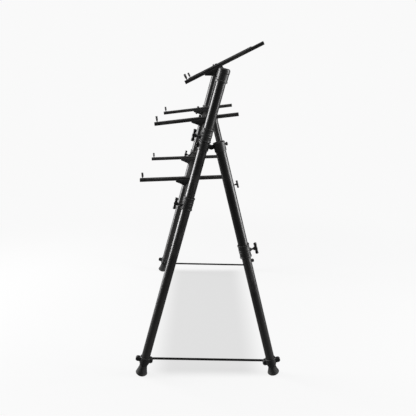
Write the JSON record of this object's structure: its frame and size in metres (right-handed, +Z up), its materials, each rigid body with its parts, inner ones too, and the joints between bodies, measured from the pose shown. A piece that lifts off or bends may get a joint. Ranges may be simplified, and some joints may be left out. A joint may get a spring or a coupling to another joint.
{
  "type": "tiered keyboard stand",
  "caption": "Tall folding A-frame keyboard stand: slanted side frames with telescoping rear legs, joined by crossbars whose tilting arms carry keyboards on stacked tiers.",
  "frame": {"origin": "centre of the footprint, on the floor", "axes": "+Z up; X is the width along the crossbars; the player stands on the -Y side; +Y is the rear, where the telescoping legs are"},
  "size_m": [1.252, 0.6439, 1.4347],
  "materials": {
    "black_tube": "satin powder coat",
    "black_plastic": "fine moulded grain",
    "knob_plastic": "moulded, slightly worn",
    "foot_rubber": "matte",
    "fastener_steel": "black oxide"
  },
  "bodies": {
    "frame": {"front_leg_r": "black_tube", "front_leg_l": "black_tube", "head_cap_r": "black_plastic", "head_cap_l": "black_plastic", "hinge_band_r": "black_plastic", "hinge_band_l": "black_plastic", "front_foot_collar_r": "black_plastic", "front_foot_collar_l": "black_plastic", "front_feet": "foot_rubber", "hinge_pins": "fastener_steel", "band_bolts": "fastener_steel"},
    "top_rack": {"top_crossbar": "black_tube", "top_arms": "black_tube", "top_saddles": "black_plastic", "top_jaws": "black_plastic", "top_arm_caps": "black_plastic", "top_arm_bolts": "fastener_steel"},
    "mid_tier": {"mid_collar_r": "black_plastic", "mid_collar_l": "black_plastic"},
    "mid_knob_r": {"mid_knob_r": "knob_plastic"},
    "mid_knob_l": {"mid_knob_l": "knob_plastic"},
    "mid_rack": {"mid_crossbar": "black_tube", "mid_arms": "black_tube", "mid_saddles": "black_plastic", "mid_jaws": "black_plastic", "mid_arm_caps": "black_plastic", "mid_arm_bolts": "fastener_steel"},
    "low_tier": {"low_collar_r": "black_plastic", "low_collar_l": "black_plastic"},
    "low_knob_r": {"low_knob_r": "knob_plastic"},
    "low_knob_l": {"low_knob_l": "knob_plastic"},
    "low_rack": {"low_crossbar": "black_tube", "low_arms": "black_tube", "low_saddles": "black_plastic", "low_jaws": "black_plastic", "low_arm_caps": "black_plastic", "low_arm_bolts": "fastener_steel"},
    "rear_leg_r": {"rear_upper_tube_r": "black_tube", "rear_top_clamp_r": "black_plastic", "rear_collar_r": "black_plastic"},
    "clamp_knob_r": {"clamp_knob_r": "knob_plastic"},
    "rear_knob_r": {"rear_knob_r": "knob_plastic"},
    "rear_shin_r": {"rear_lower_tube_r": "black_tube", "rear_foot_collar_r": "black_plastic", "rear_foot_r": "foot_rubber"},
    "spreader_r": {"spreader_bar_r": "black_tube", "spreader_screws_r": "fastener_steel"},
    "rear_leg_l": {"rear_upper_tube_l": "black_tube", "rear_top_clamp_l": "black_plastic", "rear_collar_l": "black_plastic"},
    "clamp_knob_l": {"clamp_knob_l": "knob_plastic"},
    "rear_knob_l": {"rear_knob_l": "knob_plastic"},
    "rear_shin_l": {"rear_lower_tube_l": "black_tube", "rear_foot_collar_l": "black_plastic", "rear_foot_l": "foot_rubber"},
    "spreader_l": {"spreader_bar_l": "black_tube", "spreader_screws_l": "fastener_steel"}
  },
  "joints": [
    {"name": "top_tilt", "type": "hinge", "parent": "frame", "child": "top_rack", "pos_m": [0, 0.06144, 1.29608], "axis": [1, 0, 0], "range_deg": [-26, 10]},
    {"name": "mid_height", "type": "slide", "parent": "frame", "child": "mid_tier", "axis": [0, 0.2672, 0.9636], "range_m": [0, 0.08]},
    {"name": "mid_knob_r_turn", "type": "hinge", "parent": "mid_tier", "child": "mid_knob_r", "pos_m": [0.6, -0.00511, 1.05614], "axis": [0, 0.9636, -0.2672], "continuous": true},
    {"name": "mid_knob_l_turn", "type": "hinge", "parent": "mid_tier", "child": "mid_knob_l", "pos_m": [-0.6, -0.00511, 1.05614], "axis": [0, 0.9636, -0.2672], "continuous": true},
    {"name": "mid_tilt", "type": "hinge", "parent": "mid_tier", "child": "mid_rack", "pos_m": [0, -0.00163, 1.06867], "axis": [1, 0, 0], "range_deg": [-6.5, 25]},
    {"name": "low_height", "type": "slide", "parent": "frame", "child": "low_tier", "axis": [0, 0.2672, 0.9636], "range_m": [-0.38, 0.12]},
    {"name": "low_knob_r_turn", "type": "hinge", "parent": "low_tier", "child": "low_knob_r", "pos_m": [0.6, -0.0818, 0.77958], "axis": [0, 0.9636, -0.2672], "continuous": true},
    {"name": "low_knob_l_turn", "type": "hinge", "parent": "low_tier", "child": "low_knob_l", "pos_m": [-0.6, -0.0818, 0.77958], "axis": [0, 0.9636, -0.2672], "continuous": true},
    {"name": "low_tilt", "type": "hinge", "parent": "low_tier", "child": "low_rack", "pos_m": [0, -0.07833, 0.7921], "axis": [1, 0, 0], "range_deg": [-2, 25]},
    {"name": "rear_fold_r", "type": "hinge", "parent": "frame", "child": "rear_leg_r", "pos_m": [0.6, 0.01733, 1.02086], "axis": [1, 0, 0], "range_deg": [-27, 0]},
    {"name": "clamp_knob_r_turn", "type": "hinge", "parent": "rear_leg_r", "child": "clamp_knob_r", "pos_m": [0.6, 0.04865, 1.02845], "axis": [0, 0.9718, 0.2356], "continuous": true},
    {"name": "rear_knob_r_turn", "type": "hinge", "parent": "rear_leg_r", "child": "rear_knob_r", "pos_m": [0.6, 0.15586, 0.58626], "axis": [0, 0.9718, 0.2356], "continuous": true},
    {"name": "rear_length_r", "type": "slide", "parent": "rear_leg_r", "child": "rear_shin_r", "axis": [0, -0.2356, 0.9718], "range_m": [-0.06, 0.12]},
    {"name": "spreader_swing_r", "type": "hinge", "parent": "frame", "child": "spreader_r", "pos_m": [0.6, -0.25558, 0.06295], "axis": [1, 0, 0], "range_deg": [0, 70]},
    {"name": "rear_fold_l", "type": "hinge", "parent": "frame", "child": "rear_leg_l", "pos_m": [-0.6, 0.01733, 1.02086], "axis": [1, 0, 0], "range_deg": [-27, 0]},
    {"name": "clamp_knob_l_turn", "type": "hinge", "parent": "rear_leg_l", "child": "clamp_knob_l", "pos_m": [-0.6, 0.04865, 1.02845], "axis": [0, 0.9718, 0.2356], "continuous": true},
    {"name": "rear_knob_l_turn", "type": "hinge", "parent": "rear_leg_l", "child": "rear_knob_l", "pos_m": [-0.6, 0.15586, 0.58626], "axis": [0, 0.9718, 0.2356], "continuous": true},
    {"name": "rear_length_l", "type": "slide", "parent": "rear_leg_l", "child": "rear_shin_l", "axis": [0, -0.2356, 0.9718], "range_m": [-0.06, 0.12]},
    {"name": "spreader_swing_l", "type": "hinge", "parent": "frame", "child": "spreader_l", "pos_m": [-0.6, -0.25558, 0.06295], "axis": [1, 0, 0], "range_deg": [0, 70]}
  ]
}
